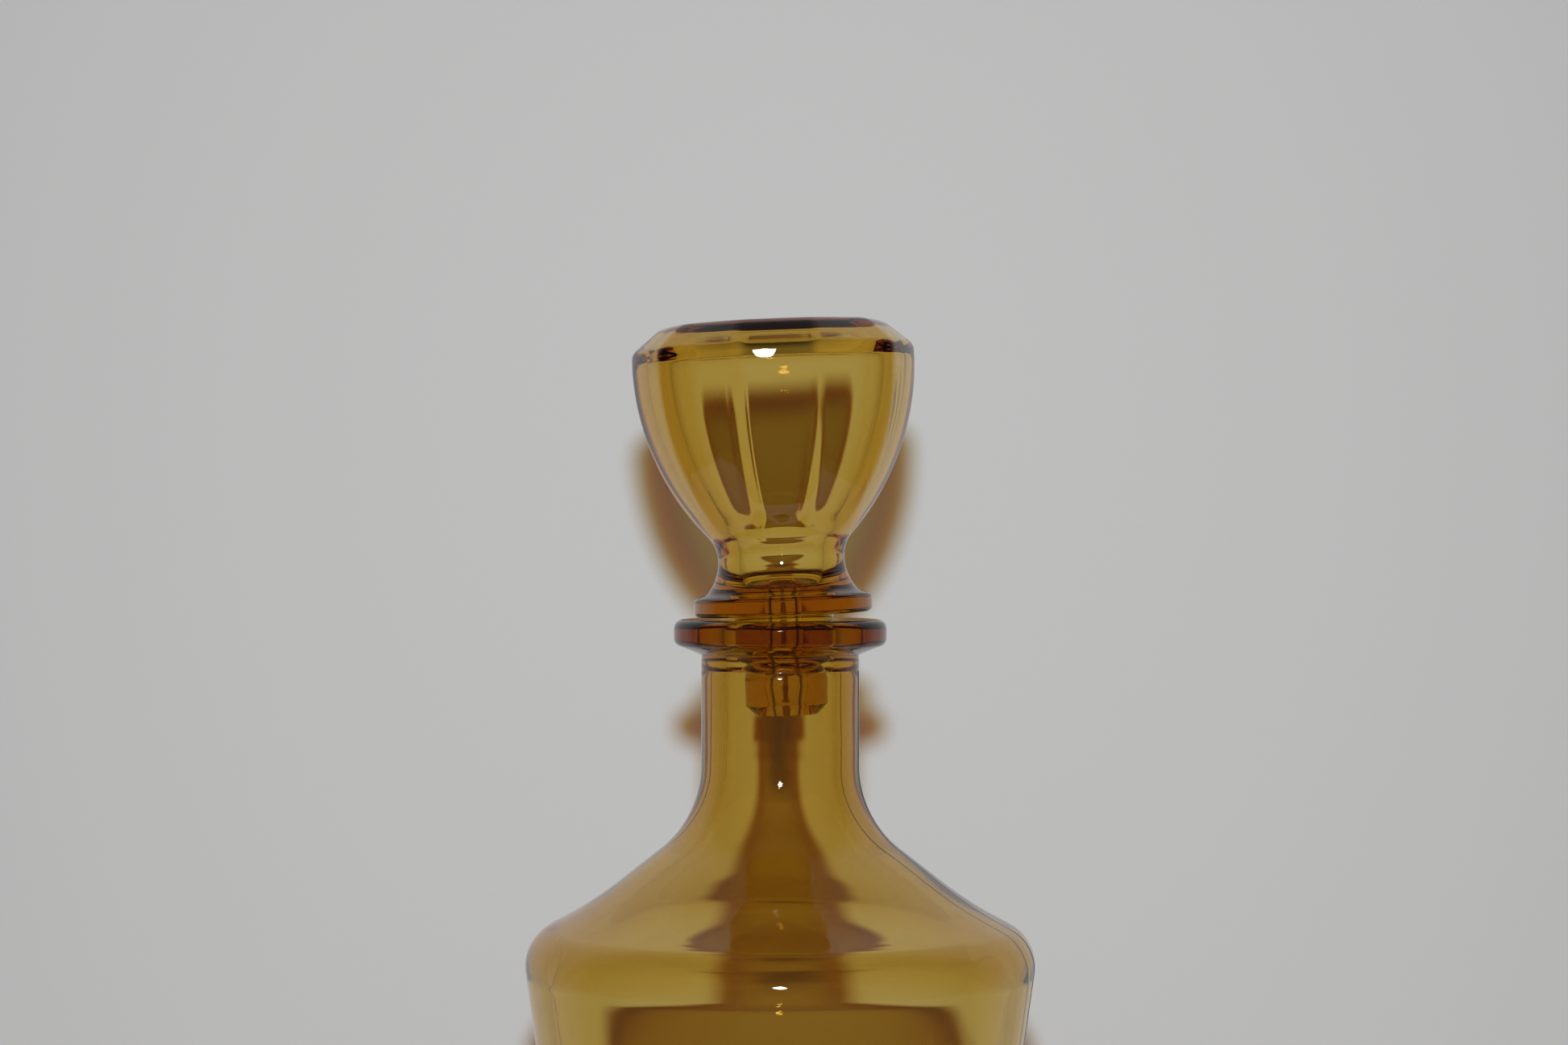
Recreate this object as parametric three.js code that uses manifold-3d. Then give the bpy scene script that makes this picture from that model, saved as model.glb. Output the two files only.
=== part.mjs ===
// A stoppered carafe in amber glass: a blown carafe with a collared neck, and its hollow stopper
// with a ten-panelled head. Millimetres, +Z up. The origin is the centre of the base, on the
// surface that the carafe stands on, and +Z is the carafe's axis. The stopper leans a little in
// the mouth, with one side of its flange down on the lip, as a stopper does that is only set in.
import * as THREE from "three";
import Module from "manifold-3d";

// Driving dimensions of the carafe's outside
const SHOULDER_RADIUS = 50; // the widest ring
const SHOULDER_HEIGHT = 125; // of that ring above the base
const SHOULDER_ROUND = 8.6;
const SIDE_TAPER = 8.1; // degrees, inwards and down
const LEDGE_SLOPE = 62; // degrees from upright, of the shoulder's outer ledge
const CONE_SLOPE = 52; // degrees from upright, of the cone above the ledge
const LEDGE_TOP_RADIUS = 37.2; // where the ledge turns into the cone
const LEDGE_BEND = 12;
const NECK_RADIUS = 15.5;
const FLARE_ROUND = 21.2; // turn from the cone into the neck
const LIP_TOP = SHOULDER_HEIGHT + 67.7;
const LIP_RADIUS = 20.9;
const LIP_SIDE = 4.8; // height of the lip's outer band, corners included
const LIP_DEPTH = 6.9; // from the lip's top down to where its underside meets the neck
const LIP_TOP_ROUND = 1.8;
const LIP_UNDER_ROUND = 1.6;
const PARTING_DROP = 9.9; // from the lip's top down to the groove round the neck
const PARTING_DEPTH = 0.3;
const HEEL_ROUND = 7;
const BEARING_RADIUS = 21; // inner edge of the flat ring that it stands on
const PUNT_DEPTH = 2.6; // hollow under the base

// Driving dimensions of the carafe's inside
const BODY_WALL = 3;
const NECK_WALL = 3.9;
const FLOOR_HEIGHT = 8; // inside, at its lowest ring
const FLOOR_ROUND = 13;
const FLOOR_CROWN = 1.5; // how far the floor rises in the middle
const MOUTH_RADIUS = 10.9;
const MOUTH_TAPER = 0.2; // how much wider the mouth is at the top
const MOUTH_ROUND = 1.3;
const MOUTH_DEPTH = 9.6;
const MOUTH_FOOT_SLOPE = 2; // height against depth of the step from the mouth into the neck

// Driving dimensions of the stopper, up from the underside of its flange
const PANELS = 10;
const PANEL_TURN = 2.7; // degrees, from the front to the middle of the front panel
const PANEL_CORNER = 10; // radius of the soft edge between two panels
const TOP_HEIGHT = 57.1;
const TOP_RADIUS = 21.6; // to the corners of the flat top, as if they were sharp
const TOP_ROUND = 5;
const RIM_RADIUS = 27.75; // to the corners of the upright rim
const RIM_TOP = 52;
const RIM_BOTTOM = 48.4;
const RIM_ROUND = 2.6;
const BOWL_ROUND = 50.9; // radius of the bowl's side
const BOWL_START = 2; // degrees from upright, where the bowl leaves the rim
const BOWL_TURN = 42.2; // and where it meets the waist
const PANEL_FADE = 4; // height over which the panels run out into the round waist
const WAIST_RADIUS = 12.4;
const WAIST_HEIGHT = 10.9;
const WAIST_ROUND = 7; // above the narrowest ring
const WAIST_FOOT_ROUND = 9.8; // and below it
const FLANGE_RADIUS = 17.5;
const FLANGE_SIDE = 3.5; // height of the flange's outer band, corners included
const FLANGE_SLOPE_TOP = 4.5; // where the sloping top of the flange meets the waist
const FLANGE_ROUND = 1;

// Driving dimensions of the stopper's plug, down from the underside of the flange
const SEAT_TOP_RADIUS = 9.8;
const SEAT_FOOT_RADIUS = 9.4;
const SEAT_DEPTH = 7.4;
const SEAT_ROUND = 0.8;
const COVE_ROUND = 2.5; // hollow turn from the seat into the shank
const SHANK_RADIUS = 6.4;
const SHANK_TOP = 10.6;
const BULB_TOP = 12.4;
const BULB_RADIUS = 8.15;
const BULB_BEVEL = 2.1;
const PLUG_ROUND = 0.4;
const PLUG_LENGTH = 19.6;

// Driving dimensions of the stopper's hollow
const HEAD_WALL = 4; // under the top and behind the corners of the rim and the bowl
const CEILING_ROUND = 5;
const CEILING_CROWN = 0.3;
const HOLLOW_RIM_ROUND = 3;
const HOLLOW_PANELLED = 0.6; // how far the hollow follows the panels
const HOLLOW_LEAN = 1.3; // degrees, back towards +X, up from the foot of the stem
const STEM_RADIUS = 8.05; // of the hollow inside the waist
const STEM_FOOT = 7.3;
const STEM_ROUND = 1.6;
const STEM_RISE = 1.3; // of the hollow's floor, from its edge to the blow hole
const BORE_RADIUS = 2.4; // blow hole through the plug
const BORE_ROUND = 0.8; // of its upper edge
const BORE_SWELL = 0.4; // how much wider it is inside the bulb
const SWELL_DEPTH = 1.5; // from the top of the bulb down to the widest part
const SWELL_RISE = 1; // and up to the plain bore
const BORE_END_RADIUS = 2.05;

// How the stopper sits in the mouth
const STOPPER_LEAN = 2.3; // degrees, towards -X
const STOPPER_SHIFT = 0.65; // of the flange's centre, towards +X
const SEAT_GAP = 0.3; // under the flange, where it comes down on the lip

// Fineness of the facets
const CARAFE_SIDES = 56;
const STOPPER_SIDES = 5 * PANELS;
const CROWN_RINGS = 3;
const CORNER_STEP = 30; // degrees of turn for one facet of a small rounded corner
const COARSE_STEP = 16.5; // of a turn that shows little
const TURN_STEP = 12; // of a wide turn
const BEND_STEP = 6; // and of a long shallow bend
const CUT_PAST = 1; // how far the hollow's cutting body reaches past the end of the plug

const GLASS_ROUGHNESS = 0.04;
const GLASS_OPACITY = 0.6;

const RADIANS = Math.PI / 180;
const sin = (degrees) => Math.sin(degrees * RADIANS);
const cos = (degrees) => Math.cos(degrees * RADIANS);
const tan = (degrees) => Math.tan(degrees * RADIANS);
const at = (radius, height) => new THREE.Vector2(radius, height);

const wasm = await Module();
wasm.setup();

// Points along an arc, from one angle to another, in degrees from outwards towards upwards.
function arc(centre, round, from, to, step) {
  const count = Math.max(1, Math.ceil(Math.abs(to - from) / step));
  const points = [];
  for (let i = 0; i <= count; i++) {
    const angle = from + ((to - from) * i) / count;
    points.push(at(centre.x + round * cos(angle), centre.y + round * sin(angle)));
  }
  return points;
}

// Where a line through one point crosses a line through another. Slopes are degrees from upright,
// positive where the radius shrinks upwards.
function crossing(first, firstSlope, second, secondSlope) {
  const rise = (first.x - second.x + first.y * tan(firstSlope) - second.y * tan(secondSlope)) /
    (tan(firstSlope) - tan(secondSlope));
  return at(first.x - (rise - first.y) * tan(firstSlope), rise);
}

// A run of straight lines through the given corners, with each corner turned on its own radius.
// A corner is [point, round, step], and one without a round stays sharp.
function rounded(corners) {
  const points = [];
  corners.forEach(([corner, round = 0, step = CORNER_STEP], i) => {
    if (!round) {
      points.push(corner);
      return;
    }
    const back = corners[i - 1][0].clone().sub(corner).normalize();
    const ahead = corners[i + 1][0].clone().sub(corner).normalize();
    const half = Math.acos(back.dot(ahead)) / 2;
    const inwards = back.clone().add(ahead).setLength(round / Math.sin(half));
    const centre = corner.clone().add(inwards);
    const start = back.clone().multiplyScalar(round / Math.tan(half)).sub(inwards);
    const turn = (Math.PI - 2 * half) * Math.sign(ahead.cross(back));
    const from = start.angle() / RADIANS;
    points.push(...arc(centre, round, from, from + turn / RADIANS, step));
  });
  return points;
}

// A shallow dome or dish, from its rim to its middle on the axis.
function crown(rim, rise) {
  const round = (rim.x ** 2 + rise ** 2) / (2 * rise);
  const points = [];
  for (let i = 1; i <= CROWN_RINGS; i++) {
    const radius = rim.x * (1 - i / CROWN_RINGS);
    const drop = round - Math.sign(round) * Math.sqrt(round ** 2 - radius ** 2);
    points.push(at(radius, rim.y + rise - drop));
  }
  return points;
}

function revolve(profile, sides) {
  return new THREE.LatheGeometry(profile, sides).rotateX(Math.PI / 2);
}

function toSolid(geometry) {
  const vertProperties = geometry.attributes.position.array;
  const triVerts = new Uint32Array(geometry.index.array);
  return new wasm.Manifold(new wasm.Mesh({ numProp: 3, vertProperties, triVerts }));
}

function toGeometry(solid) {
  const { vertProperties, triVerts } = solid.getMesh();
  const geometry = new THREE.BufferGeometry();
  geometry.setAttribute("position", new THREE.BufferAttribute(vertProperties, 3));
  geometry.setIndex(new THREE.BufferAttribute(triVerts, 1));
  geometry.computeVertexNormals();
  return geometry;
}

function amberGlass(color) {
  return new THREE.MeshStandardMaterial({
    color,
    roughness: GLASS_ROUGHNESS,
    metalness: 0,
    transparent: true,
    opacity: GLASS_OPACITY,
  });
}

// The line of the side, shoulder, cone and neck, as corners. The same line moved inwards by the
// walls is the inside.
function sideCorners(wall, neckWall) {
  const turned = SHOULDER_ROUND - wall;
  const centre = at(SHOULDER_RADIUS - SHOULDER_ROUND, SHOULDER_HEIGHT);
  const [side] = arc(centre, turned, -SIDE_TAPER, LEDGE_SLOPE, TURN_STEP);
  const [ledge] = arc(centre, turned, LEDGE_SLOPE, -SIDE_TAPER, TURN_STEP);
  const shoulder = crossing(side, -SIDE_TAPER, ledge, LEDGE_SLOPE);
  const bendRadius = LEDGE_TOP_RADIUS - wall * cos((LEDGE_SLOPE + CONE_SLOPE) / 2);
  const bend = at(bendRadius, ledge.y + (ledge.x - bendRadius) / tan(LEDGE_SLOPE));
  const neck = crossing(bend, CONE_SLOPE, at(NECK_RADIUS - neckWall, 0), 0);
  return { side, shoulder, turned, bend, neck };
}

function carafeOutside() {
  const { side, shoulder, turned, bend, neck } = sideCorners(0, 0);
  const foot = at(side.x - side.y * tan(SIDE_TAPER), 0);
  const parting = LIP_TOP - PARTING_DROP;
  return rounded([
    [at(BEARING_RADIUS, 0)],
    [foot, HEEL_ROUND, COARSE_STEP],
    [shoulder, turned, TURN_STEP],
    [bend, LEDGE_BEND, BEND_STEP],
    [neck, FLARE_ROUND, TURN_STEP],
    [at(NECK_RADIUS, parting - PARTING_DEPTH)],
    [at(NECK_RADIUS - PARTING_DEPTH, parting)],
    [at(NECK_RADIUS, parting + PARTING_DEPTH)],
    [at(NECK_RADIUS, LIP_TOP - LIP_DEPTH)],
    [at(LIP_RADIUS, LIP_TOP - LIP_SIDE), LIP_UNDER_ROUND],
    [at(LIP_RADIUS, LIP_TOP), LIP_TOP_ROUND],
    [at(MOUTH_RADIUS + MOUTH_TAPER, LIP_TOP), MOUTH_ROUND],
    [at(MOUTH_RADIUS, LIP_TOP - MOUTH_DEPTH)],
  ]);
}

function carafeInside() {
  const { side, shoulder, turned, bend, neck } = sideCorners(BODY_WALL, NECK_WALL);
  const floorEdge = at(side.x - (side.y - FLOOR_HEIGHT) * tan(SIDE_TAPER), FLOOR_HEIGHT);
  const neckRadius = NECK_RADIUS - NECK_WALL;
  const step = neckRadius - MOUTH_RADIUS;
  const line = rounded([
    [at(neckRadius, LIP_TOP - MOUTH_DEPTH - step * MOUTH_FOOT_SLOPE)],
    [neck, FLARE_ROUND, TURN_STEP],
    [bend, LEDGE_BEND, TURN_STEP],
    [shoulder, turned, COARSE_STEP],
    [floorEdge, FLOOR_ROUND, COARSE_STEP],
    [at(0, FLOOR_HEIGHT)],
  ]).slice(0, -1);
  return [...line, ...crown(line.at(-1), FLOOR_CROWN)];
}

function carafe() {
  const punt = crown(at(BEARING_RADIUS, 0), PUNT_DEPTH).reverse();
  const geometry = revolve([...punt, ...carafeOutside(), ...carafeInside()], CARAFE_SIDES);
  const mesh = new THREE.Mesh(geometry, amberGlass(0xb3872a));
  mesh.name = "carafe";
  return mesh;
}

// The bowl's side as an arc. The same arc moved inwards by the wall is the hollow's side.
function bowlSide(wall, end, step) {
  const middle = at(
    RIM_RADIUS - BOWL_ROUND * cos(BOWL_START),
    RIM_BOTTOM + BOWL_ROUND * sin(BOWL_START),
  );
  return { middle, side: arc(middle, BOWL_ROUND - wall, -end, -BOWL_START, step) };
}

// The waist, from the flange's sloping top up to the bowl.
function waistSide(top) {
  const foot = Math.asin((WAIST_HEIGHT - FLANGE_SLOPE_TOP) / WAIST_FOOT_ROUND) / RADIANS;
  const head = Math.asin((top - WAIST_HEIGHT) / WAIST_ROUND) / RADIANS;
  const footCentre = at(WAIST_RADIUS + WAIST_FOOT_ROUND, WAIST_HEIGHT);
  const headCentre = at(WAIST_RADIUS + WAIST_ROUND, WAIST_HEIGHT);
  return [
    ...arc(footCentre, WAIST_FOOT_ROUND, 180 + foot, 180, TURN_STEP),
    ...arc(headCentre, WAIST_ROUND, 180, 180 - head, TURN_STEP).slice(1),
  ];
}

// The stopper's outline from the end of the plug up to the middle of the top. In the head, the
// radius is the one to the corners between the panels.
function stopperOutside() {
  const { side } = bowlSide(0, BOWL_TURN, BEND_STEP);
  const waist = waistSide(side[0].y);
  const plug = rounded([
    [at(0, -PLUG_LENGTH)],
    [at(BULB_RADIUS - BULB_BEVEL, -PLUG_LENGTH)],
    [at(BULB_RADIUS, -PLUG_LENGTH + BULB_BEVEL)],
    [at(BULB_RADIUS, -BULB_TOP), PLUG_ROUND, 90],
    [at(SHANK_RADIUS, -BULB_TOP)],
    [at(SHANK_RADIUS, -SHANK_TOP), COVE_ROUND, COARSE_STEP],
    [at(SEAT_FOOT_RADIUS, -SEAT_DEPTH), SEAT_ROUND],
    [at(SEAT_TOP_RADIUS, 0)],
    [at(FLANGE_RADIUS, 0), FLANGE_ROUND],
    [at(FLANGE_RADIUS, FLANGE_SIDE), FLANGE_ROUND],
    [waist[0]],
  ]);
  const head = rounded([
    [side.at(-1)],
    [at(RIM_RADIUS, RIM_TOP), RIM_ROUND, COARSE_STEP],
    [at(TOP_RADIUS, TOP_HEIGHT), TOP_ROUND, COARSE_STEP],
    [at(0, TOP_HEIGHT)],
  ]);
  return [...plug, ...waist.slice(1), ...side.slice(1), ...head.slice(1)];
}

// The hollow's outline, from past the open end of the blow hole up to the middle of the ceiling.
function stopperInside() {
  const { middle } = bowlSide(HEAD_WALL, BOWL_TURN, TURN_STEP);
  const end = Math.acos((STEM_RADIUS - middle.x) / (BOWL_ROUND - HEAD_WALL)) / RADIANS;
  const { side } = bowlSide(HEAD_WALL, end, TURN_STEP);
  const bevel = Math.atan2(TOP_HEIGHT - RIM_TOP, RIM_RADIUS - TOP_RADIUS) / RADIANS;
  const rimCorner = at(RIM_RADIUS - HEAD_WALL, RIM_TOP - HEAD_WALL * tan(45 - bevel / 2));
  const topCorner = at(TOP_RADIUS - HEAD_WALL * tan(bevel / 2), TOP_HEIGHT - HEAD_WALL);
  const bore = rounded([
    [at(0, -PLUG_LENGTH - CUT_PAST)],
    [at(BORE_END_RADIUS, -PLUG_LENGTH - CUT_PAST)],
    [at(BORE_END_RADIUS, -PLUG_LENGTH)],
    [at(BORE_RADIUS + BORE_SWELL, -BULB_TOP - SWELL_DEPTH)],
    [at(BORE_RADIUS, -BULB_TOP + SWELL_RISE)],
    [at(BORE_RADIUS, STEM_FOOT + STEM_RISE), BORE_ROUND],
    [at(STEM_RADIUS, STEM_FOOT), STEM_ROUND],
    [side[0]],
  ]);
  const ceiling = rounded([
    [side.at(-1)],
    [rimCorner, HOLLOW_RIM_ROUND, COARSE_STEP],
    [topCorner, CEILING_ROUND, COARSE_STEP],
    [at(0, topCorner.y)],
  ]).slice(1, -1);
  return [...bore, ...side.slice(1), ...ceiling, ...crown(ceiling.at(-1), CEILING_CROWN)];
}

// The radius of a ten-sided ring with soft corners, at an angle from the middle of a panel.
function panelRadius(corner, off) {
  const half = 180 / PANELS;
  const soft = Math.min(PANEL_CORNER, corner / 2);
  const centre = corner - soft;
  const away = half - Math.abs(off);
  const turned = Math.atan2(soft * sin(half), centre + soft * cos(half)) / RADIANS;
  if (away < turned) {
    return centre * cos(away) + Math.sqrt(soft ** 2 - (centre * sin(away)) ** 2);
  }
  return (centre * cos(half) + soft) / cos(off);
}

// A closed body from an outline that begins and ends on the axis: round below the bowl, ten-sided
// above it as far as panelled says, and leaning towards +X above the foot of the stem.
function loft(outline, panelled, lean) {
  const bowlFoot = bowlSide(0, BOWL_TURN, BEND_STEP).side[0].y;
  const sector = 360 / PANELS;
  const vertices = [];
  const triangles = [];
  const shift = (height) => Math.max(height - STEM_FOOT, 0) * tan(lean);
  const rings = outline.slice(1, -1);
  rings.forEach(({ x, y }) => {
    const share = panelled * THREE.MathUtils.smoothstep(y, bowlFoot, bowlFoot + PANEL_FADE);
    for (let i = 0; i < STOPPER_SIDES; i++) {
      const turn = (360 * i) / STOPPER_SIDES;
      const radius = THREE.MathUtils.lerp(x, panelRadius(x, (turn % sector) - sector / 2), share);
      const angle = PANEL_TURN - 90 + sector / 2 + turn;
      vertices.push(radius * cos(angle) + shift(y), radius * sin(angle), y);
    }
  });
  const foot = vertices.length / 3;
  for (const { y } of [outline[0], outline.at(-1)]) {
    vertices.push(shift(y), 0, y);
  }
  for (let i = 0; i < STOPPER_SIDES; i++) {
    const next = (i + 1) % STOPPER_SIDES;
    for (let ring = 0; ring < rings.length - 1; ring++) {
      const low = ring * STOPPER_SIDES;
      const high = low + STOPPER_SIDES;
      triangles.push(low + i, low + next, high + next, low + i, high + next, high + i);
    }
    const last = (rings.length - 1) * STOPPER_SIDES;
    triangles.push(foot, next, i, foot + 1, last + i, last + next);
  }
  const geometry = new THREE.BufferGeometry();
  geometry.setAttribute("position", new THREE.Float32BufferAttribute(vertices, 3));
  geometry.setIndex(triangles);
  return toSolid(geometry);
}

function stopper() {
  const skin = loft(stopperOutside(), 1, 0);
  const hollow = loft(stopperInside(), HOLLOW_PANELLED, HOLLOW_LEAN);
  const mesh = new THREE.Mesh(toGeometry(skin.subtract(hollow)), amberGlass(0xc08a2a));
  mesh.name = "stopper";
  mesh.position.set(STOPPER_SHIFT, 0, LIP_TOP + SEAT_GAP + FLANGE_RADIUS * sin(STOPPER_LEAN));
  mesh.rotation.y = -STOPPER_LEAN * RADIANS;
  return mesh;
}

const group = new THREE.Group();
group.add(carafe(), stopper());

export default group;
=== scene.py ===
"""A stoppered carafe in amber glass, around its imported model: a carafe blown in a mould, and its
hollow moulded stopper with a ten-panelled head. Metres, +Z up, the base on the floor."""
import math
import bpy
import numpy as np
from mathutils import Matrix, Vector, noise


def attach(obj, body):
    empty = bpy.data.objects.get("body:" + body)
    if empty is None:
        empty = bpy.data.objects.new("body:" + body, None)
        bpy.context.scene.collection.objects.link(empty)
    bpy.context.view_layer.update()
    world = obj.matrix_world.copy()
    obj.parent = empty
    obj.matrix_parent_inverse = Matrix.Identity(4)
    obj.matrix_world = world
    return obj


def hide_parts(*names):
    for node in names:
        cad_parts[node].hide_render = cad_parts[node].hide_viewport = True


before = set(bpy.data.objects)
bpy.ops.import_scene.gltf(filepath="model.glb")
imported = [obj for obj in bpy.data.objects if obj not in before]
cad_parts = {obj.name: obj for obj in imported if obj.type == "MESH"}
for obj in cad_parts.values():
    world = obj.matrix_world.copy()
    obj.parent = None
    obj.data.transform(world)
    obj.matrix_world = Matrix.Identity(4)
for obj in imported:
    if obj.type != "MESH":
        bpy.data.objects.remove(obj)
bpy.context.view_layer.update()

MM = 0.001

# The carafe's outside, in millimetres
SHOULDER_RADIUS = 49.97
SHOULDER_HEIGHT = 125
SHOULDER_ROUND = 8.6
SIDE_TAPER = 8.1  # degrees, inwards and down
LEDGE_SLOPE = 62  # degrees from upright
CONE_SLOPE = 52
LEDGE_TOP_RADIUS = 37.2
LEDGE_BEND = 75
NECK_RADIUS = 15.5
FLARE_ROUND = 21.2
LIP_TOP = SHOULDER_HEIGHT + 67.7
LIP_RADIUS = 20.9
LIP_SIDE = 4.8
LIP_DEPTH = 6.9
LIP_TOP_ROUND = 1.8
LIP_UNDER_ROUND = 1.6
PARTING_DROP = 9.9
PARTING_DEPTH = 0.15
HEEL_ROUND = 7
BEARING_RADIUS = 21
PUNT_DEPTH = 2.6

# The carafe's inside
BODY_WALL = 3
CONE_WALL = 3.8
NECK_WALL = 4.5
FLOOR_HEIGHT = 8
FLOOR_ROUND = 13
FLOOR_CROWN = 1.5
MOUTH_RADIUS = 10.9
MOUTH_TAPER = 0.2
MOUTH_ROUND = 1.3
MOUTH_DEPTH = 9.6
LOOSE_BEND = 60  # between the ledge and the cone
LOOSE_ROUND = 8  # under the shoulder
LOOSE_FLARE = 23  # from the cone into the neck
MOUTH_FOOT_SLOPE = 2  # height against depth of the step from the mouth into the neck

# The carafe's seams and its uneven inside
SEAM_AT = -9.5  # degrees from +X, and opposite
SEAM_HEIGHT = 0.12
SEAM_WIDTH = 0.25
SEAM_COLUMNS = (-1.5, -1, -0.6, -0.3, 0, 0.3, 0.6, 1, 1.5)  # degrees from the seam
SEAM_CLEAR = 0.3  # degrees from them to the next even column
WAVE = 0.5
WAVE_SIZE = 28
DIMPLE = 0.06
DIMPLE_SIZE = 11
RIPPLE = 0.04  # of the rings in the neck
RIPPLE_SIZE = 2.2
RIPPLE_HEIGHT = 168
RIPPLE_SPREAD = 5
LOOSE_FROM = 1  # under the mouth, where the inside starts to be uneven
LOOSE_FULL = 8
STILL_MIDDLE = 12  # radius in which the floor grows even, towards its middle

# The stopper, up from the underside of its flange
PANELS = 10
PANEL_TURN = 2  # degrees, from the front to the middle of the front panel
PANELLED = 0.7  # 1 for flat panels, 0 for a round bowl
PANEL_CORNER = 3  # radius of the soft edge between two panels
TOP_HEIGHT = 57.09
TOP_RADIUS = 21.6
TOP_ROUND = 5
RIM_RADIUS = 27.75
RIM_TOP = 52
RIM_BOTTOM = 48.4
RIM_ROUND = 2.6
BOWL_ROUND = 50.9
BOWL_START = 2  # degrees from upright, where the bowl leaves the rim
BOWL_TURN = 42.2  # and where it meets the waist
PANEL_FADE = 4
WAIST_RADIUS = 12.4
WAIST_HEIGHT = 10.9
WAIST_ROUND = 7  # above the narrowest ring
WAIST_FOOT_ROUND = 9.8  # and below it
FLANGE_RADIUS = 17.5
FLANGE_SIDE = 3.5
FLANGE_SLOPE_TOP = 4.5
FLANGE_ROUND = 1

# The stopper's plug, down from the underside of its flange
SEAT_TOP_RADIUS = 9.8
SEAT_FOOT_RADIUS = 9.4
SEAT_DEPTH = 7.4
SEAT_ROUND = 0.8
COVE_ROUND = 2.5
SHANK_RADIUS = 6.4
SHANK_TOP = 10.6
BULB_TOP = 12.4
BULB_RADIUS = 8.15
BULB_BEVEL = 2.1
PLUG_ROUND = 0.4
PLUG_LENGTH = 19.6

# The stopper's hollow
HEAD_WALL = 4.5
CEILING_ROUND = 2
CEILING_CROWN = 0.3
HOLLOW_RIM_ROUND = 1
HOLLOW_CORNER = 3  # radius of the soft edges of its own panels
HOLLOW_BACK = 1.5  # how far it lies off the axis, away from the front
HOLLOW_ROUND_FROM = 33  # degrees from the front or back panel, where it turns round
HOLLOW_ROUND_BY = 48
HOLLOW_TAPER = 1.5  # degrees, by which its wall thickens downwards
HOLLOW_LEAN = 0.6  # degrees, back towards +X, up from the foot of the stem
STEM_RADIUS = 8.05
STEM_FOOT = 3
STEM_ROUND = 1.6
STEM_RISE = 1.3
STEM_SIDE_ROUND = 9  # between the stem and the bowl
STEM_SIDE_REACH = 1.1  # share of that turn's length that is kept free of other points
BORE_RADIUS = 2.4
BORE_ROUND = 0.8
BORE_SWELL = 0.4
SWELL_DEPTH = 1.5
SWELL_RISE = 1
BORE_END_RADIUS = 2.05

# How the stopper sits in the mouth
STOPPER_LEAN = 2.3  # degrees, towards -X
STOPPER_SHIFT = 0.65
SEAT_GAP = 0.3

# Fineness of the meshes
FINE_CORNER = 15  # degrees of turn for one ring of a small rounded corner
FINE_TURN = 3
FINE_BEND = 1.5
LONGEST = 1.5  # millimetres from ring to ring along a straight stretch
CARAFE_SIDES = 168
STOPPER_SIDES = 20 * PANELS

# The camera and the stage, in metres
CAMERA = (0.00074, -0.712, 0.2117)
LENS = 83.25  # millimetres, as SENSOR is
SENSOR = 36
NEAREST = 0.01  # that the camera sees
FLASH_RISE = 0.09  # of the key lamp over the lens
KEY_SIZE = 0.028
KEY_POWER = 7.2
GLINT_WIDTH = 0.08  # of the flash as the glass mirrors it
GLINT_HEIGHT = 0.07
GLINT_LIGHT = 30
BACKDROP = 0.18  # behind the carafe's axis
BACKDROP_HEIGHT = 0.46
STAGE_SIDE = 0.3  # from the axis to either end of the floor and the backdrop
AIM_HEIGHT = 0.2  # on the backdrop, where the flash points
FLOOR_FRONT = 0.11  # the shelf's front edge, before the axis
FILL = 0.06  # light from all round
DARK_FROM = 0.1  # of a direction's +Y, up to which a mirrored room is dark
DARK_FADE = 0.5  # and over which it grows pale
ONE_MIRROR = 0.5  # a count over this is one mirroring or more
DARK_ROOM = 0.05  # the unlit room in front, as the glass mirrors it

# The glass
BLOWN = "#D4A73D"  # what THROUGH of it lets through
MOULDED = "#E2BC53"
BLOWN_PASSED = 0.92  # share of the lamp's light that its skin lets through
MOULDED_PASSED = 0.82
THROUGH = 0.01  # metres of glass that the two colours are for
LEAST = 1e-4  # of a colour let through, so that its logarithm exists
BENDING = 1.52  # index of refraction of soda-lime glass
BOUNCES = 24  # of light between its walls

# The papers
WALL_GREY = "#BEBEBE"
FLOOR_GREY = "#C4C3C1"


def sin(degrees):
    return math.sin(math.radians(degrees))


def cos(degrees):
    return math.cos(math.radians(degrees))


def tan(degrees):
    return math.tan(math.radians(degrees))


def at(radius, height):
    return Vector((radius, height))


def arc(centre, round_, start, end, step):
    """Points along an arc, in degrees from outwards towards upwards."""
    count = max(1, math.ceil(abs(end - start) / step))
    angles = [start + (end - start) * i / count for i in range(count + 1)]
    return [at(centre.x + round_ * cos(a), centre.y + round_ * sin(a)) for a in angles]


def crossing(first, first_slope, second, second_slope):
    """Where two lines cross. Slopes are degrees from upright, positive where they lean inwards."""
    lean, other = tan(first_slope), tan(second_slope)
    height = (first.x - second.x + first.y * lean - second.y * other) / (lean - other)
    return at(first.x - (height - first.y) * lean, height)


def rounded(corners):
    """A line through the corners, each turned on its own radius. A corner is (point, round, step)."""
    points = []
    for i, (corner, *turning) in enumerate(corners):
        round_ = turning[0] if turning else 0
        step = turning[1] if len(turning) > 1 else FINE_CORNER
        if not round_:
            points.append(corner)
            continue
        back = (corners[i - 1][0] - corner).normalized()
        ahead = (corners[i + 1][0] - corner).normalized()
        half = math.acos(back.dot(ahead)) / 2
        centre = corner + (back + ahead).normalized() * (round_ / math.sin(half))
        start = corner + back * (round_ / math.tan(half)) - centre
        turn = math.copysign(180 - 2 * math.degrees(half), ahead.x * back.y - ahead.y * back.x)
        angle = math.degrees(math.atan2(start.y, start.x))
        points += arc(centre, round_, angle, angle + turn, step)
    return points


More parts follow.
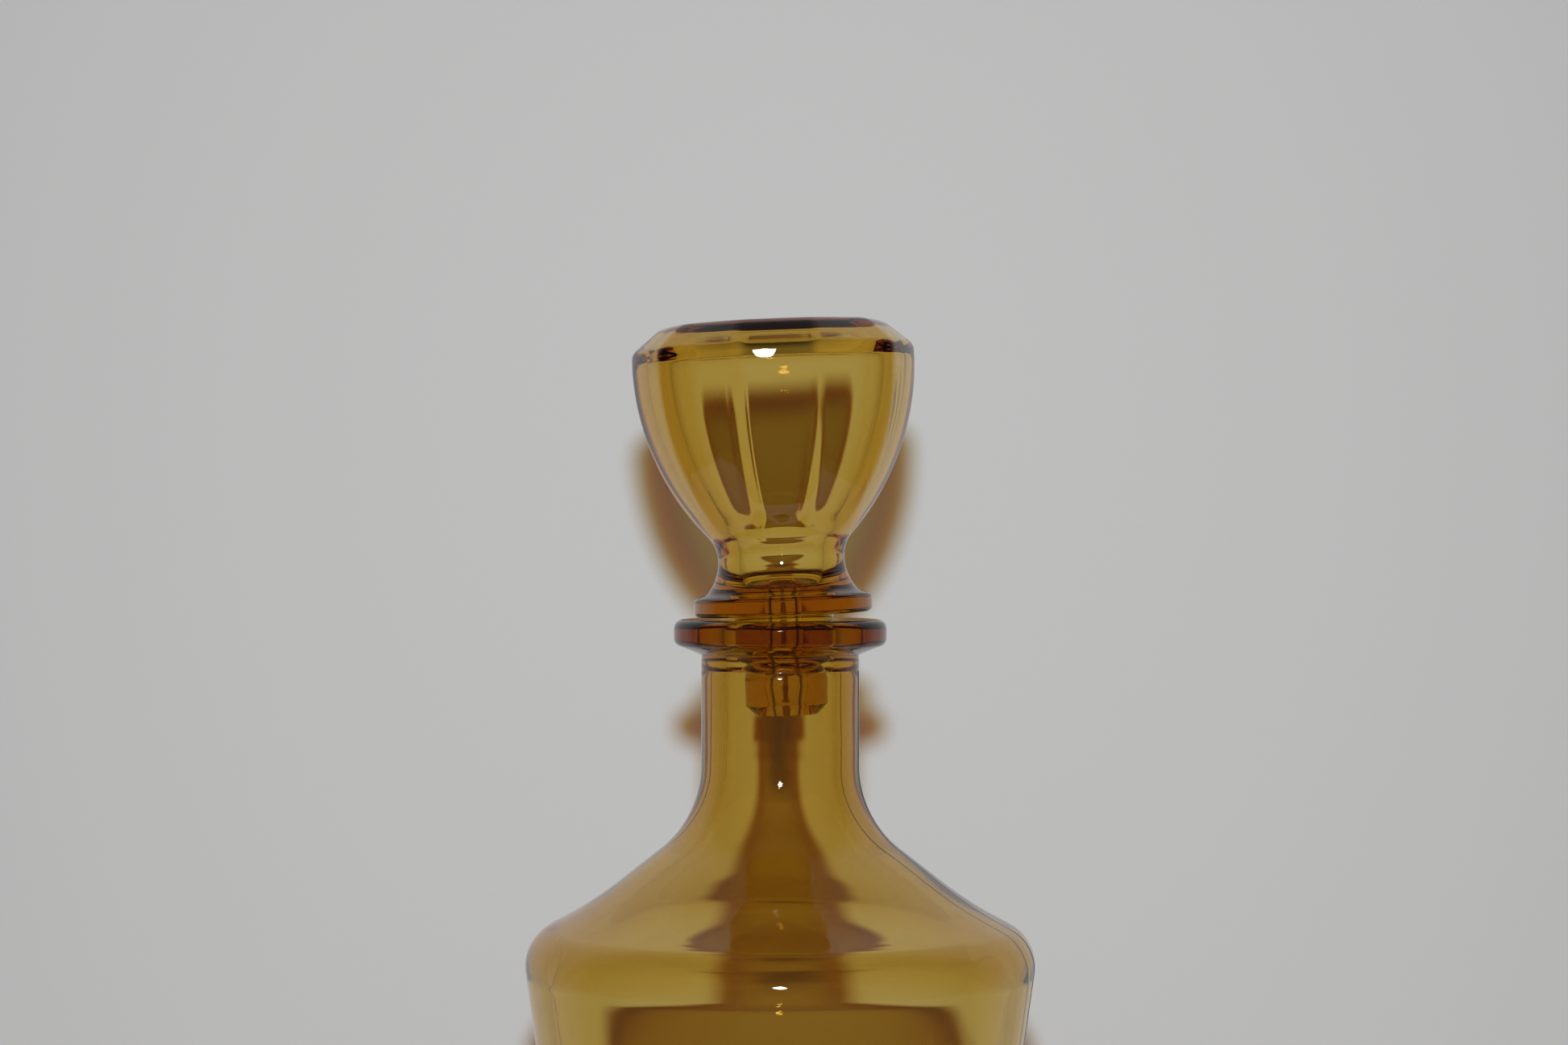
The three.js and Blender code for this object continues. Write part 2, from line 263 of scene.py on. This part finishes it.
def crown(rim, rise, steps=16):
    """A shallow dome or dish, from its rim to its middle."""
    round_ = (rim.x**2 + rise**2) / (2 * rise)
    points = []
    for i in range(1, steps + 1):
        radius = rim.x * (1 - i / steps)
        drop = round_ - math.copysign(math.sqrt(round_**2 - radius**2), round_)
        points.append(at(radius, rim.y + rise - drop))
    return points


def spaced(points, longest=LONGEST):
    """The same line with more points where two lie far apart."""
    line = [points[0]]
    for before, after in zip(points, points[1:]):
        count = max(1, math.ceil((after - before).length / longest))
        line += [before.lerp(after, i / count) for i in range(1, count + 1)]
    return line


def smoothstep(value, low, high):
    share = np.clip((value - low) / (high - low), 0, 1)
    return share * share * (3 - 2 * share)


def side_corners(wall, cone_wall, neck_wall):
    """Corners of the outline, moved inwards by the walls: side, shoulder, bend and foot of the neck."""
    centre = at(SHOULDER_RADIUS - SHOULDER_ROUND, SHOULDER_HEIGHT)
    round_ = SHOULDER_ROUND - wall
    side = centre + at(round_ * cos(SIDE_TAPER), -round_ * sin(SIDE_TAPER))
    round_ = SHOULDER_ROUND - cone_wall
    ledge = centre + at(round_ * cos(LEDGE_SLOPE), round_ * sin(LEDGE_SLOPE))
    shoulder = crossing(side, -SIDE_TAPER, ledge, LEDGE_SLOPE)
    bend_radius = LEDGE_TOP_RADIUS - cone_wall * cos((LEDGE_SLOPE + CONE_SLOPE) / 2)
    bend = at(bend_radius, ledge.y + (ledge.x - bend_radius) / tan(LEDGE_SLOPE))
    neck = crossing(bend, CONE_SLOPE, at(NECK_RADIUS - neck_wall, 0), 0)
    return side, shoulder, bend, neck


def carafe_outside():
    side, shoulder, bend, neck = side_corners(0, 0, 0)
    parting = LIP_TOP - PARTING_DROP
    punt = crown(at(BEARING_RADIUS, 0), PUNT_DEPTH)[::-1]
    return punt + rounded([
        (at(BEARING_RADIUS, 0),),
        (at(side.x - side.y * tan(SIDE_TAPER), 0), HEEL_ROUND, FINE_TURN),
        (shoulder, SHOULDER_ROUND, FINE_TURN),
        (bend, LEDGE_BEND, FINE_BEND),
        (neck, FLARE_ROUND, FINE_TURN),
        (at(NECK_RADIUS, parting - PARTING_DEPTH),),
        (at(NECK_RADIUS - PARTING_DEPTH, parting),),
        (at(NECK_RADIUS, parting + PARTING_DEPTH),),
        (at(NECK_RADIUS, LIP_TOP - LIP_DEPTH),),
        (at(LIP_RADIUS, LIP_TOP - LIP_SIDE), LIP_UNDER_ROUND),
        (at(LIP_RADIUS, LIP_TOP), LIP_TOP_ROUND),
        (at(MOUTH_RADIUS + MOUTH_TAPER, LIP_TOP), MOUTH_ROUND),
        (at(MOUTH_RADIUS, LIP_TOP - MOUTH_DEPTH),),
    ])


def carafe_inside():
    side, shoulder, bend, neck = side_corners(BODY_WALL, CONE_WALL, NECK_WALL)
    floor_edge = at(side.x - (side.y - FLOOR_HEIGHT) * tan(SIDE_TAPER), FLOOR_HEIGHT)
    neck_radius = NECK_RADIUS - NECK_WALL
    step = neck_radius - MOUTH_RADIUS
    mouth_foot = at(neck_radius, LIP_TOP - MOUTH_DEPTH - step * MOUTH_FOOT_SLOPE)
    line = rounded([
        (mouth_foot,),
        (neck, LOOSE_FLARE, FINE_TURN),
        (bend, LOOSE_BEND, FINE_BEND),
        (shoulder, LOOSE_ROUND, FINE_TURN),
        (floor_edge, FLOOR_ROUND, FINE_TURN),
        (at(0, FLOOR_HEIGHT),),
    ])[:-1]
    return line + crown(line[-1], FLOOR_CROWN)


def bowl_side(wall):
    """The bowl's arc, from the waist up to the rim, moved inwards by the wall."""
    middle = at(RIM_RADIUS - BOWL_ROUND * cos(BOWL_START),
                RIM_BOTTOM + BOWL_ROUND * sin(BOWL_START))
    return arc(middle, BOWL_ROUND - wall, -BOWL_TURN, -BOWL_START, FINE_BEND)


def waist_side(top):
    """The waist's outline, from the flange up to where the bowl starts."""
    foot = math.degrees(math.asin((WAIST_HEIGHT - FLANGE_SLOPE_TOP) / WAIST_FOOT_ROUND))
    head = math.degrees(math.asin((top - WAIST_HEIGHT) / WAIST_ROUND))
    foot_centre = at(WAIST_RADIUS + WAIST_FOOT_ROUND, WAIST_HEIGHT)
    head_centre = at(WAIST_RADIUS + WAIST_ROUND, WAIST_HEIGHT)
    return (arc(foot_centre, WAIST_FOOT_ROUND, 180 + foot, 180, FINE_TURN)
            + arc(head_centre, WAIST_ROUND, 180, 180 - head, FINE_TURN)[1:])


def stopper_outside():
    """The outline from the end of the plug up to the middle of the top."""
    side = bowl_side(0)
    waist = waist_side(side[0].y)
    plug = rounded([
        (at(BORE_END_RADIUS, -PLUG_LENGTH),),
        (at(BULB_RADIUS - BULB_BEVEL, -PLUG_LENGTH), PLUG_ROUND),
        (at(BULB_RADIUS, -PLUG_LENGTH + BULB_BEVEL), PLUG_ROUND),
        (at(BULB_RADIUS, -BULB_TOP), PLUG_ROUND),
        (at(SHANK_RADIUS, -BULB_TOP), PLUG_ROUND),
        (at(SHANK_RADIUS, -SHANK_TOP), COVE_ROUND),
        (at(SEAT_FOOT_RADIUS, -SEAT_DEPTH), SEAT_ROUND),
        (at(SEAT_TOP_RADIUS, 0), PLUG_ROUND),
        (at(FLANGE_RADIUS, 0), FLANGE_ROUND),
        (at(FLANGE_RADIUS, FLANGE_SIDE), FLANGE_ROUND),
        (waist[0],),
    ])
    head = rounded([
        (side[-1],),
        (at(RIM_RADIUS, RIM_TOP), RIM_ROUND, FINE_TURN),
        (at(TOP_RADIUS, TOP_HEIGHT), TOP_ROUND, FINE_TURN),
        (at(0, TOP_HEIGHT),),
    ])
    return plug + waist[1:] + side[1:] + head[1:]


def stopper_inside():
    """The hollow's outline from the open end of the blow hole up to the middle of the ceiling."""
    side = bowl_side(HEAD_WALL)
    side = [at(p.x - (side[-1].y - p.y) * tan(HOLLOW_TAPER), p.y) for p in side]
    side = [p for p in side if p.x > STEM_RADIUS]
    meeting = at(STEM_RADIUS, side[0].y - (side[0].x - STEM_RADIUS) / tan(BOWL_TURN))
    reach = STEM_SIDE_ROUND * tan(BOWL_TURN / 2) * STEM_SIDE_REACH
    side = [meeting] + [p for p in side if (p - meeting).length > reach]
    bevel = math.degrees(math.atan2(TOP_HEIGHT - RIM_TOP, RIM_RADIUS - TOP_RADIUS))
    rim_corner = at(RIM_RADIUS - HEAD_WALL, RIM_TOP - HEAD_WALL * tan(45 - bevel / 2))
    top_corner = at(TOP_RADIUS - HEAD_WALL * tan(bevel / 2), TOP_HEIGHT - HEAD_WALL)
    bore = rounded([
        (at(BORE_END_RADIUS, -PLUG_LENGTH),),
        (at(BORE_RADIUS + BORE_SWELL, -BULB_TOP - SWELL_DEPTH),),
        (at(BORE_RADIUS, -BULB_TOP + SWELL_RISE),),
        (at(BORE_RADIUS, STEM_FOOT + STEM_RISE), BORE_ROUND),
        (at(STEM_RADIUS, STEM_FOOT), STEM_ROUND),
        (side[0], STEM_SIDE_ROUND, FINE_TURN),
        (side[1],),
    ])
    ceiling = rounded([
        (side[-1],),
        (rim_corner, HOLLOW_RIM_ROUND, FINE_TURN),
        (top_corner, CEILING_ROUND, FINE_TURN),
        (at(0, top_corner.y),),
    ])[1:-1]
    return bore[:-1] + side[1:] + ceiling + crown(ceiling[-1], CEILING_CROWN)


def closed_mesh(name, rings):
    """A closed body from rings of points in millimetres. The first and the last ring are one
    point each."""
    sides = rings.shape[1]
    tips = rings[[0, -1], 0]
    rings = rings[1:-1]
    points = np.concatenate([rings.reshape(-1, 3), tips]) * MM
    first = len(rings) * sides
    faces = []
    for side in range(sides):
        after = (side + 1) % sides
        for ring in range(len(rings) - 1):
            low, high = ring * sides, (ring + 1) * sides
            faces.append((low + side, low + after, high + after, high + side))
        faces.append((first, after, side))
        faces.append((first + 1, first - sides + side, first - sides + after))
    mesh = bpy.data.meshes.new(name)
    mesh.from_pydata(points.tolist(), [], faces)
    mesh.polygons.foreach_set("use_smooth", np.ones(len(faces), bool))
    mesh.update()
    piece = bpy.data.objects.new(name, mesh)
    bpy.context.scene.collection.objects.link(piece)
    return piece


def waviness(points, size):
    """Smooth noise from -1 to 1, with bumps of about the size, at each point."""
    flat = points.reshape(-1, 3) / size
    return np.array([noise.noise(p) for p in flat]).reshape(points.shape[:-1])


def from_seam(angles):
    """Degrees to the nearer of the two seams."""
    return np.abs((angles - SEAM_AT + 90) % 180 - 90)


def blown_carafe():
    """Even outside, where the mould shaped it, but for the mould's seams. Uneven inside."""
    outside, inside = spaced(carafe_outside()), spaced(carafe_inside())
    line = np.array(outside + inside)
    even = np.linspace(0, 360, CARAFE_SIDES, endpoint=False)
    even = even[from_seam(even) > SEAM_COLUMNS[-1] + SEAM_CLEAR]
    seams = [(SEAM_AT + half + a) % 360 for half in (0, 180) for a in SEAM_COLUMNS]
    angles = np.sort(np.concatenate([even, seams]))
    radii, heights = line[:, :1], line[:, 1:]
    ways = np.stack([np.cos(np.radians(angles)), np.sin(np.radians(angles))], axis=-1)
    points = np.stack([radii * ways[:, 0], radii * ways[:, 1], heights + 0 * angles], axis=-1)

    off = np.radians(from_seam(angles)) * radii
    on_side = (heights > HEEL_ROUND) & (heights < LIP_TOP - PARTING_DROP)
    on_side[len(outside):] = False
    moved = np.where(on_side, SEAM_HEIGHT * np.exp(-(off / SEAM_WIDTH)**2), 0)

    loose = (smoothstep(LIP_TOP - MOUTH_DEPTH - heights, LOOSE_FROM, LOOSE_FULL)
             * smoothstep(radii, 0, STILL_MIDDLE))
    loose[:len(outside)] = 0
    blown = WAVE * waviness(points, WAVE_SIZE) + DIMPLE * waviness(points, DIMPLE_SIZE)
    rings = np.sin(2 * math.pi * heights / RIPPLE_SIZE) * np.exp(
        -((heights - RIPPLE_HEIGHT) / RIPPLE_SPREAD)**2)
    moved = moved + loose * (blown + RIPPLE * rings)
    points[..., :2] += moved[..., None] * ways
    return closed_mesh("blown_carafe", points)


def panel_radius(corner, soft, off):
    """The radius of a ten-sided ring with soft corners, at angles from the middle of a panel."""
    half = 180 / PANELS
    soft = min(soft, corner / 2)
    centre = corner - soft
    away = np.radians(half - np.abs(off))
    turned = math.atan2(soft * sin(half), centre + soft * cos(half))
    across = np.maximum(soft**2 - (centre * np.sin(away)) ** 2, 0)
    return np.where(away < turned, centre * np.cos(away) + np.sqrt(across),
                    (centre * cos(half) + soft) / np.cos(np.radians(off)))


def panelled_stopper():
    """Ten panels on the head, outside and in, which run out into the round waist."""
    outside = spaced(stopper_outside())
    inside = spaced(stopper_inside()[::-1])
    bowl_foot = bowl_side(0)[0].y
    sector = 360 / PANELS
    turn = np.arange(STOPPER_SIDES) * 360 / STOPPER_SIDES
    off = turn % sector - sector / 2
    angles = np.radians(PANEL_TURN - 90 + sector / 2 + turn)
    aside = np.abs((turn + sector / 2 + 90) % 180 - 90)
    sideways = smoothstep(aside, HOLLOW_ROUND_FROM, HOLLOW_ROUND_BY)
    points = []
    for line, soft in ((inside, HOLLOW_CORNER), (outside[1:], PANEL_CORNER)):
        for ring in line:
            share = float(smoothstep(ring.y, bowl_foot, bowl_foot + PANEL_FADE))
            radius = panel_radius(ring.x, soft, off)
            shift, back = 0, 0
            if line is inside:
                radius += sideways * (panel_radius(ring.x, soft, np.zeros(1)) - radius)
                shift = max(ring.y - STEM_FOOT, 0) * tan(HOLLOW_LEAN)
                back = share * HOLLOW_BACK
            radius = ring.x + PANELLED * share * (radius - ring.x)
            points.append(np.stack([radius * np.cos(angles) + shift, radius * np.sin(angles) + back,
                                    np.full(len(angles), ring.y)], axis=-1))
    seat = Vector((STOPPER_SHIFT, 0, LIP_TOP + SEAT_GAP + FLANGE_RADIUS * sin(STOPPER_LEAN)))
    leaning = np.array(Matrix.Rotation(math.radians(-STOPPER_LEAN), 3, "Y"))
    return closed_mesh("panelled_stopper", np.array(points) @ leaning.T + np.array(seat))


def linear(hex_colour):
    """An sRGB hex colour as the linear red, green and blue that shaders take."""
    shares = [int(hex_colour[i:i + 2], 16) / 255 for i in (1, 3, 5)]
    return [s / 12.92 if s <= 0.04045 else ((s + 0.055) / 1.055) ** 2.4 for s in shares]


def add_node(tree, kind, inputs=None, **settings):
    """Adds a node with its settings, and gives each input a value or a link."""
    added = tree.nodes.new(kind)
    for name, value in settings.items():
        setattr(added, name, value)
    for socket, value in (inputs or {}).items():
        if isinstance(value, bpy.types.NodeSocket):
            tree.links.new(value, added.inputs[socket])
        else:
            added.inputs[socket].default_value = value
    return added


def amber_glass(name, through, share):
    """Soda-lime glass, amber all through. through is what THROUGH of it lets through, and share
    is what its skin lets through of the lamp's light, where it casts a shadow."""
    material = bpy.data.materials.new(name)
    material.use_nodes = True
    tree = material.node_tree
    tree.nodes.clear()
    taken = [-math.log(max(c, LEAST)) / THROUGH for c in linear(through)]
    density = max(taken)
    surface = add_node(tree, "ShaderNodeBsdfPrincipled", {
        "Base Color": (1, 1, 1, 1),
        "Roughness": 0,
        "IOR": BENDING,
        "Transmission Weight": 1,
    })
    # The lamp's light crosses the glass straight and loses a share at each surface. What a ray
    # from the camera sees is bent by the glass.
    rays = add_node(tree, "ShaderNodeLightPath")
    passed = add_node(tree, "ShaderNodeBsdfTransparent", {"Color": (*[share] * 3, 1)})
    glass = add_node(tree, "ShaderNodeMixShader", {
        0: rays.outputs["Is Diffuse Ray"], 1: surface.outputs[0], 2: passed.outputs[0]})
    glass = add_node(tree, "ShaderNodeMixShader", {
        0: rays.outputs["Is Shadow Ray"], 1: glass.outputs[0], 2: passed.outputs[0]})
    depth = add_node(tree, "ShaderNodeVolumeAbsorption", {
        "Color": (*[1 - t / density for t in taken], 1),
        "Density": density,
    })
    add_node(tree, "ShaderNodeOutputMaterial", {
        "Surface": glass.outputs[0],
        "Volume": depth.outputs[0],
    })
    return material


def matt(name, colour):
    """Paper or card without any gloss."""
    material = bpy.data.materials.new(name)
    material.use_nodes = True
    tree = material.node_tree
    tree.nodes.clear()
    surface = add_node(tree, "ShaderNodeBsdfDiffuse", {"Color": (*linear(colour), 1)})
    add_node(tree, "ShaderNodeOutputMaterial", {"Surface": surface.outputs[0]})
    return material


def card(name, corners, material):
    mesh = bpy.data.meshes.new(name)
    mesh.from_pydata(corners, [], [(0, 1, 2, 3)])
    piece = bpy.data.objects.new(name, mesh)
    bpy.context.scene.collection.objects.link(piece)
    mesh.materials.append(material)
    return piece


def one_sided(material):
    """The front of the card is matt, and its back isn't there, for views from behind."""
    tree = material.node_tree
    out = next(n for n in tree.nodes if n.type == "OUTPUT_MATERIAL")
    front = out.inputs["Surface"].links[0].from_socket
    facing = add_node(tree, "ShaderNodeNewGeometry")
    clear = add_node(tree, "ShaderNodeBsdfTransparent")
    mix = add_node(tree, "ShaderNodeMixShader", {
        0: facing.outputs["Backfacing"], 1: front, 2: clear.outputs[0]})
    tree.links.new(mix.outputs[0], out.inputs["Surface"])
    return material


def room():
    """Pale wherever it is seen straight or through glass. Once the light is mirrored, also by the
    glass inside, the room is dark in front, as the one behind a photographer's flash is."""
    world = bpy.data.worlds.new("room")
    bpy.context.scene.world = world
    world.use_nodes = True
    tree = world.node_tree
    tree.nodes.clear()
    rays = add_node(tree, "ShaderNodeLightPath")
    towards = add_node(tree, "ShaderNodeSeparateXYZ", {
        0: add_node(tree, "ShaderNodeTexCoord").outputs["Generated"]})
    behind = add_node(tree, "ShaderNodeMapRange", {
        "Value": towards.outputs["Y"], "From Min": DARK_FROM, "From Max": DARK_FROM + DARK_FADE})
    mirrored = add_node(tree, "ShaderNodeMath", {
        0: rays.outputs["Glossy Depth"], 1: ONE_MIRROR}, operation="GREATER_THAN")
    dark = add_node(tree, "ShaderNodeMath", {
        0: 1, 1: behind.outputs[0]}, operation="SUBTRACT")
    dimmed = add_node(tree, "ShaderNodeMath", {
        0: mirrored.outputs[0], 1: dark.outputs[0]}, operation="MULTIPLY")
    seen = add_node(tree, "ShaderNodeMath", {
        0: rays.outputs["Is Camera Ray"], 1: rays.outputs["Is Transmission Ray"]},
        operation="MAXIMUM")
    seen = add_node(tree, "ShaderNodeMath", {
        0: seen.outputs[0], 1: rays.outputs["Is Glossy Ray"]}, operation="MAXIMUM")
    shown = add_node(tree, "ShaderNodeMath", {
        0: seen.outputs[0], 1: dimmed.outputs[0]}, operation="SUBTRACT", use_clamp=True)
    pale = add_node(tree, "ShaderNodeBackground", {"Color": (*linear(WALL_GREY), 1), "Strength": 1})
    fill = add_node(tree, "ShaderNodeBackground", {"Color": (1, 1, 1, 1), "Strength": FILL})
    mirror = add_node(tree, "ShaderNodeBackground", {"Color": (1, 1, 1, 1), "Strength": DARK_ROOM})
    unlit = add_node(tree, "ShaderNodeMixShader", {
        0: seen.outputs[0], 1: fill.outputs[0], 2: mirror.outputs[0]})
    mix = add_node(tree, "ShaderNodeMixShader", {
        0: shown.outputs[0], 1: unlit.outputs[0], 2: pale.outputs[0]})
    add_node(tree, "ShaderNodeOutputWorld", {"Surface": mix.outputs[0]})


def backdrop():
    """Both papers are matt, so they take the shadow softly and show no glint of the lamp."""
    card("floor", [(-STAGE_SIDE, -FLOOR_FRONT, 0), (STAGE_SIDE, -FLOOR_FRONT, 0),
                   (STAGE_SIDE, BACKDROP, 0), (-STAGE_SIDE, BACKDROP, 0)],
         matt("floor_paper", FLOOR_GREY))
    card("backdrop", [(-STAGE_SIDE, BACKDROP, 0), (STAGE_SIDE, BACKDROP, 0),
                      (STAGE_SIDE, BACKDROP, BACKDROP_HEIGHT),
                      (-STAGE_SIDE, BACKDROP, BACKDROP_HEIGHT)],
         one_sided(matt("grey_card", WALL_GREY)))


def flash(name, energy, **settings):
    """A lamp just over the lens, aimed at the backdrop."""
    lamp = bpy.data.lights.new(name, "AREA")
    lamp.energy = energy
    for setting, value in settings.items():
        setattr(lamp, setting, value)
    head = bpy.data.objects.new(name, lamp)
    bpy.context.scene.collection.objects.link(head)
    head.location = (CAMERA[0], CAMERA[1], CAMERA[2] + FLASH_RISE)
    aim = Vector((0, BACKDROP, AIM_HEIGHT)) - head.location
    head.rotation_euler = aim.to_track_quat("-Z", "Y").to_euler()
    return head


def lamps():
    """The small lamp lights the papers. The wide one is seen in the glass only, as a flash is
    that blooms in a photograph."""
    flash("key", KEY_POWER, shape="DISK", size=KEY_SIZE)
    glint_area = math.pi / 4 * GLINT_WIDTH * GLINT_HEIGHT
    glint = flash("glint", GLINT_LIGHT * math.pi * glint_area, shape="ELLIPSE",
                  size=GLINT_WIDTH, size_y=GLINT_HEIGHT)
    glint.visible_diffuse = False
    glint.visible_transmission = False


def camera():
    lens = bpy.data.cameras.new("camera")
    lens.lens = LENS
    lens.sensor_width = SENSOR
    lens.clip_start = NEAREST
    eye = bpy.data.objects.new("camera", lens)
    eye.location = CAMERA
    eye.rotation_euler = (math.radians(90), 0, 0)
    scene = bpy.context.scene
    scene.collection.objects.link(eye)
    scene.camera = eye
    scene.view_settings.view_transform = "Standard"
    for kind in ("max_bounces", "transmission_bounces", "glossy_bounces"):
        setattr(scene.cycles, kind, BOUNCES)


carafe = blown_carafe()
# Blown into a mould: bright and even outside, uneven inside, so what lies behind it bends a little,
# and straw yellow across the wall but brown along it.
carafe.data.materials.append(amber_glass("amber_blown_glass", BLOWN, BLOWN_PASSED))
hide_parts("carafe")
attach(carafe, "carafe_body")

stopper = panelled_stopper()
# Moulded thick: yellow in the thin hollow head, and deep orange in the solid flange and plug.
stopper.data.materials.append(amber_glass("amber_moulded_glass", MOULDED, MOULDED_PASSED))
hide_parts("stopper")
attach(stopper, "stopper_body")

backdrop()
lamps()
camera()
room()
